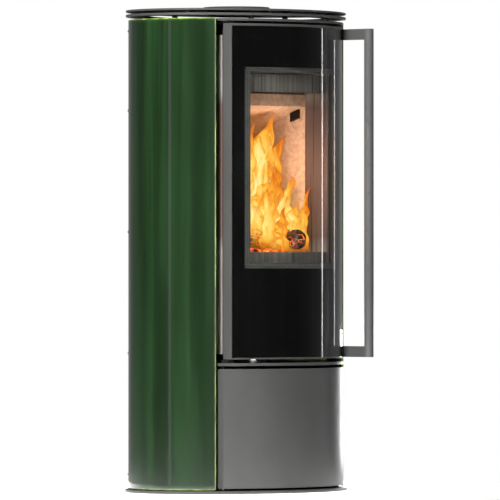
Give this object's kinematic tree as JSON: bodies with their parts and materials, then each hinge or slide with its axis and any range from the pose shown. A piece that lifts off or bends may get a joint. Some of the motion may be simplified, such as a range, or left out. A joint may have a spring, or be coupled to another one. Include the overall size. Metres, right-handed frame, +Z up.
{
  "type": "wood burning stove",
  "caption": "Free-standing oval wood stove with glazed fire door, vertical bar handle, enamelled curved sides, wood store below and a layered top.",
  "frame": {"origin": "centre of the oval plan, on the floor under the base plate", "axes": "+Z up, -Y towards the front door, +X towards the handle side"},
  "size_m": [0.6118, 0.4888, 1.159],
  "materials": {
    "green_enamel": "gloss vitreous enamel",
    "grey_paint": "satin heat-proof paint",
    "black_steel": "matt heat-proof paint",
    "firebox_steel": "heat-toned sheet steel",
    "spacer_steel": "turned steel",
    "cast_iron": "as cast",
    "vermiculite": null,
    "clear_glass": "clear heat-proof glass",
    "black_print": null,
    "rope": "woven glass-fibre rope",
    "handle_steel": "satin",
    "knob_plastic": "matt heat-proof plastic",
    "wood_log": "split hardwood, charred",
    "embers": null
  },
  "bodies": {
    "stove_body": {"base_plate": "grey_paint", "side_panel_left": "green_enamel", "side_panel_right": "green_enamel", "front_posts": "black_steel", "rear_posts": "black_steel", "panel_hangers": "black_steel", "shelf_plate": "grey_paint", "top_trim_plate": "grey_paint", "top_ring": "grey_paint", "ring_spacers": "spacer_steel", "top_spacers": "spacer_steel", "top_plate": "grey_paint", "rear_panel": "black_steel", "rear_panel_screws": "spacer_steel", "firebox_shell": "firebox_steel", "firebox_front": "black_steel", "hearth_plate": "cast_iron", "hearth_bricks": "vermiculite", "grate": "cast_iron", "lining_right": "vermiculite", "lining_left": "vermiculite", "lining_back": "vermiculite", "baffle_plate": "vermiculite", "baffle_brackets": "black_steel", "air_deflector": "firebox_steel", "log_retainer": "firebox_steel", "cheek_right": "firebox_steel", "cheek_left": "firebox_steel", "ash_pan": "black_steel", "ash_pan_rails": "black_steel", "ember_bed": "embers", "log_front": "wood_log", "log_rear": "wood_log", "flue_spigot": "cast_iron", "air_inlet_stub": "cast_iron", "top_outlet_collar": "cast_iron", "outlet_lid": "cast_iron", "store_box": "black_steel", "panel_pins": "spacer_steel", "magnet_catches": "black_steel", "hinge_brackets": "black_steel", "latch_strikes": "black_steel"},
    "fire_door": {"door_frame": "grey_paint", "door_glass": "clear_glass", "glass_print": "black_print", "window_gasket": "rope", "door_gasket": "rope", "glass_clips": "black_steel", "handle_bearings": "spacer_steel"},
    "door_handle": {"handle_bar": "handle_steel", "handle_brackets": "grey_paint", "latch_rod": "spacer_steel", "latch_cams": "spacer_steel"},
    "store_door": {"store_panel": "grey_paint", "panel_lugs": "black_steel"},
    "air_control": {"air_slide": "black_steel", "air_knob": "knob_plastic"},
    "flue_cap": {"flue_cover": "grey_paint"}
  },
  "joints": [
    {"name": "fire_door_hinge", "type": "hinge", "parent": "stove_body", "child": "fire_door", "pos_m": [-0.1985, -0.1465, 0.7], "axis": [0, 0, -1], "range_deg": [0, 105]},
    {"name": "handle_turn", "type": "hinge", "parent": "fire_door", "child": "door_handle", "pos_m": [0.2092, -0.148, 0.7], "axis": [0, 0, 1], "range_deg": [0, 20]},
    {"name": "store_door_hinge", "type": "hinge", "parent": "stove_body", "child": "store_door", "pos_m": [-0.2115, -0.141, 0.15], "axis": [0, 0, -1], "range_deg": [0, 76]},
    {"name": "air_slide_travel", "type": "slide", "parent": "stove_body", "child": "air_control", "axis": [0, 1, 0], "range_m": [0, 0.06]},
    {"name": "flue_cover_lift", "type": "slide", "parent": "stove_body", "child": "flue_cap", "axis": [0, 0, 1], "range_m": [0, 0.12]}
  ]
}
